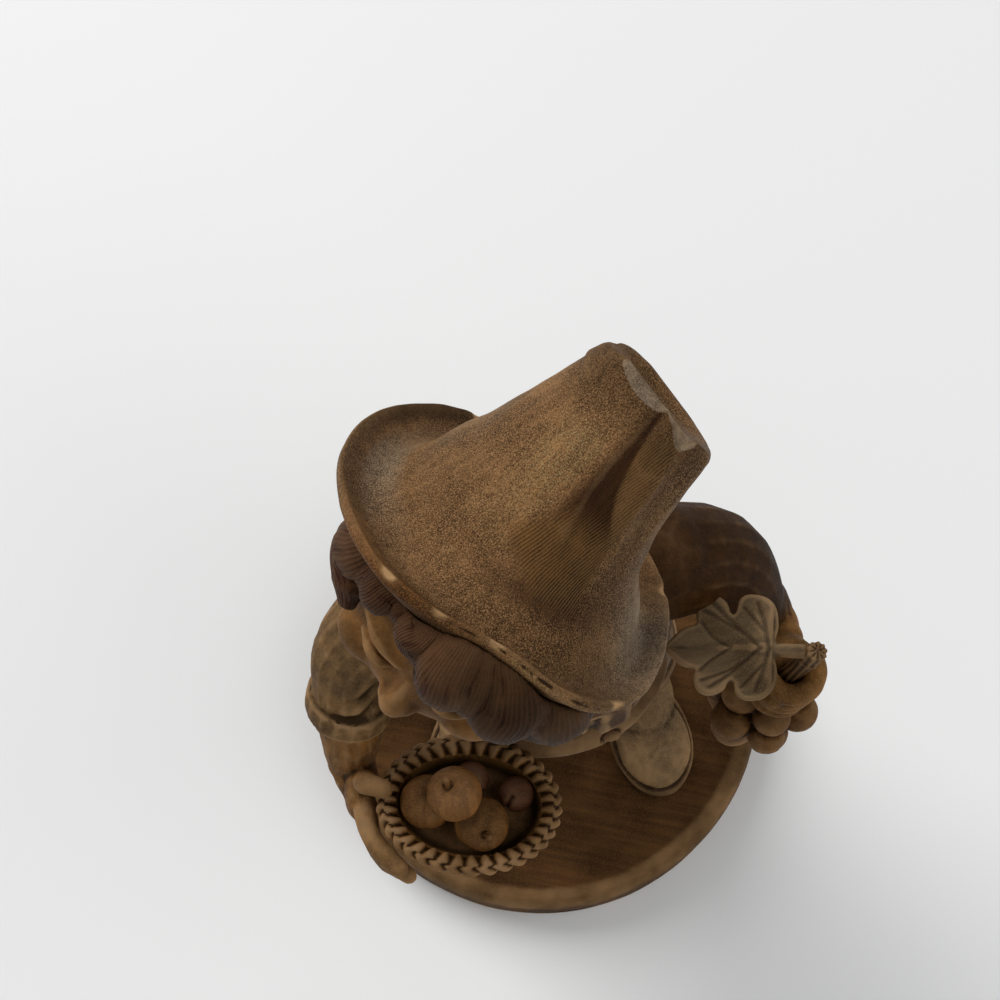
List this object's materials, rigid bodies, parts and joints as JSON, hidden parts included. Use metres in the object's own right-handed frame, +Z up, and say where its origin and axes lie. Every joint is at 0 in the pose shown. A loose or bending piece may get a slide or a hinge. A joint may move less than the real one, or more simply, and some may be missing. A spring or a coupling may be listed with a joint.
{
  "type": "carved wooden figurine",
  "caption": "Carved wooden boy in a tall tipped hat on a round plinth, holding a basket of fruit at the belly and a bunch of grapes in the raised left hand.",
  "frame": {"origin": "middle of the plinth's flat underside", "axes": "+Z up along the figure's height, -Y towards the figure's front, +X to the figure's left"},
  "size_m": [0.078, 0.078, 0.1824],
  "materials": {
    "plinth_wood": "dark stained, waxed",
    "clothes_wood": "walnut stained, waxed",
    "head_wood": "walnut stained, waxed",
    "hat_wood": "dark stained, dry, dusty",
    "basket_wood": "walnut stained, waxed",
    "fruit_wood": "walnut stained, waxed",
    "grape_wood": "dark stained, waxed",
    "leaf_wood": "light stained, waxed",
    "dowel_wood": "raw beech",
    "screw_steel": "plain"
  },
  "bodies": {
    "root": {"base_plinth": "plinth_wood", "screw_right": "screw_steel", "screw_left": "screw_steel", "figure_body": "clothes_wood", "right_arm": "clothes_wood", "left_arm": "clothes_wood", "right_shoulder_dowel": "dowel_wood", "left_shoulder_dowel": "dowel_wood", "neck_dowel": "dowel_wood", "basket_dowel": "dowel_wood", "head": "head_wood", "hat": "hat_wood", "hat_dowel": "dowel_wood", "basket": "basket_wood", "apple_left": "fruit_wood", "apple_right": "fruit_wood", "apple_top": "fruit_wood", "plum_back": "fruit_wood", "plum_side": "fruit_wood", "grape_bunch": "grape_wood", "vine_stem": "grape_wood", "vine_leaf": "leaf_wood"}
  },
  "joints": []
}
